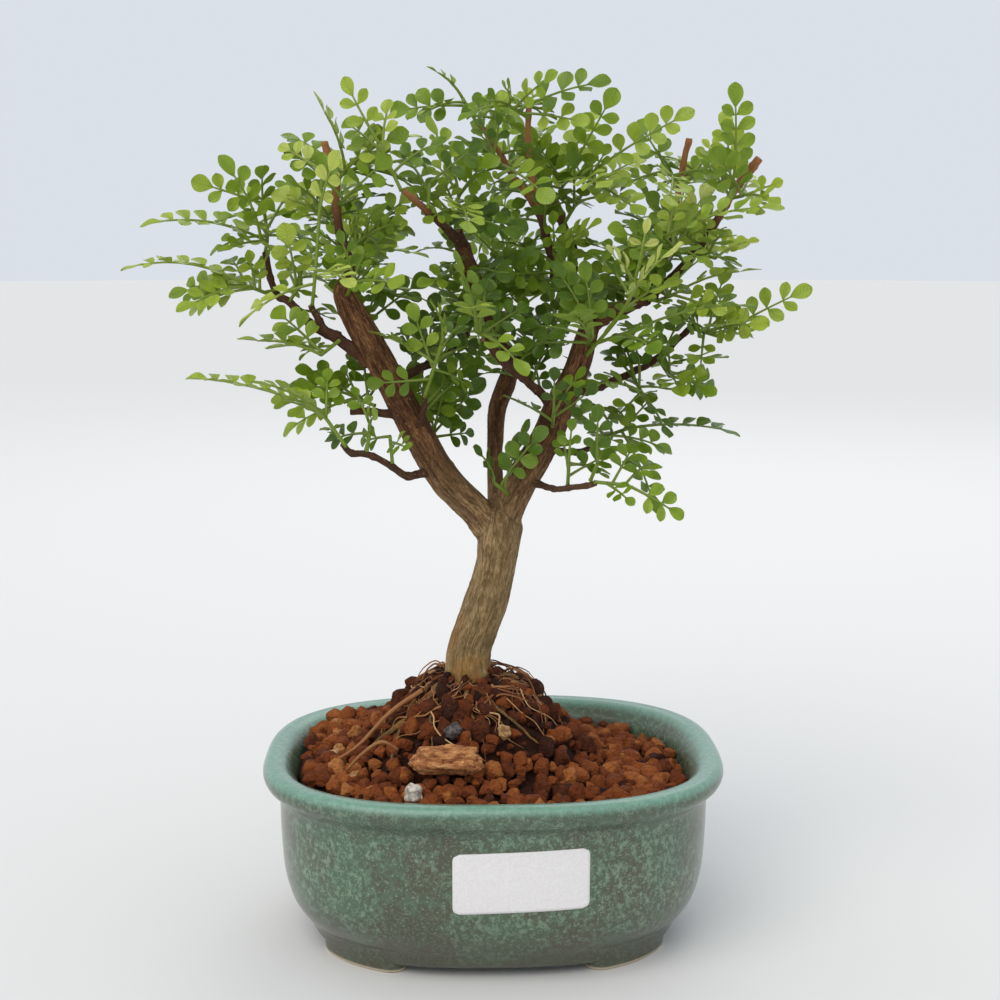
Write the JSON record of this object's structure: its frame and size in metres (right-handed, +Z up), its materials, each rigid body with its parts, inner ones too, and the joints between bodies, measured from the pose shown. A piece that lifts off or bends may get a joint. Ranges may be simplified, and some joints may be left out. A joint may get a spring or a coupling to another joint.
{
  "type": "japanese pepper bonsai",
  "caption": "Japanese pepper bonsai: a short trunk forking into bare limbs with pinnate leaf shoots, on a soil mound in a squarish oval glazed pot.",
  "frame": {"origin": "middle of the outline seen from above, at the height of the feet of the pot", "axes": "+Z up along the height, +X to the right along the long side of the pot, -Y towards the front wall with the label"},
  "size_m": [0.1892, 0.1286, 0.2433],
  "materials": {
    "glaze": "gloss",
    "screen_plastic": "matte",
    "akadama": "matte",
    "bark": "matte",
    "leaf": "satin",
    "young_leaf": "satin",
    "flake": "matte",
    "paper": "matte",
    "pumice": "matte",
    "grey_stone": "matte",
    "tan_stone": "matte"
  },
  "bodies": {
    "root": {"pot": "glaze", "drain_screen_left": "screen_plastic", "drain_screen_right": "screen_plastic", "soil": "akadama", "tree": "bark", "label": "paper", "bark_chip": "flake", "pumice_pebble": "pumice", "grey_pebble": "grey_stone", "tan_pebble": "tan_stone", "shoot_left_tip": "leaf", "shoot_left_outer": "leaf", "shoot_left_low_edge": "leaf", "shoot_left_young_rod": "young_leaf", "shoot_left_side_pair": "leaf", "shoot_low_left_end": "leaf", "shoot_low_left_mid": "leaf", "shoot_low_left_in": "leaf", "shoot_stub_left": "leaf", "shoot_limb_top": "leaf", "shoot_rise_low": "leaf", "shoot_rise_left": "leaf", "shoot_rise_high": "leaf", "shoot_rise_front": "leaf", "shoot_arm_tip": "leaf", "shoot_arm_mid": "leaf", "shoot_arm_low": "leaf", "shoot_tan_tip": "leaf", "shoot_tan_mid": "leaf", "shoot_top_stub": "leaf", "shoot_top_right_a": "leaf", "shoot_top_right_b": "leaf", "shoot_top_right_c": "leaf", "shoot_right_stub": "leaf", "shoot_right_stub_out": "leaf", "shoot_right_top": "leaf", "shoot_right_arch": "leaf", "shoot_right_cut": "leaf", "shoot_right_under": "leaf", "shoot_right_reach": "leaf", "shoot_right_low_reach": "leaf", "shoot_bright_shoot": "young_leaf", "shoot_right_end": "leaf", "shoot_right_droop": "leaf", "shoot_right_inner": "leaf", "shoot_low_right_b": "leaf", "shoot_low_right_end": "leaf", "shoot_low_right_up": "leaf", "shoot_low_right_in": "leaf", "shoot_front_limb": "leaf", "shoot_front_dark": "leaf", "shoot_limb_twig_top": "leaf", "shoot_cross_left": "leaf", "shoot_front_fan": "leaf", "shoot_fork_low": "leaf", "shoot_limb_back_low": "leaf", "shoot_back_left": "leaf", "shoot_back_middle": "leaf", "shoot_back_right": "leaf", "shoot_back_top": "leaf"}
  },
  "joints": []
}
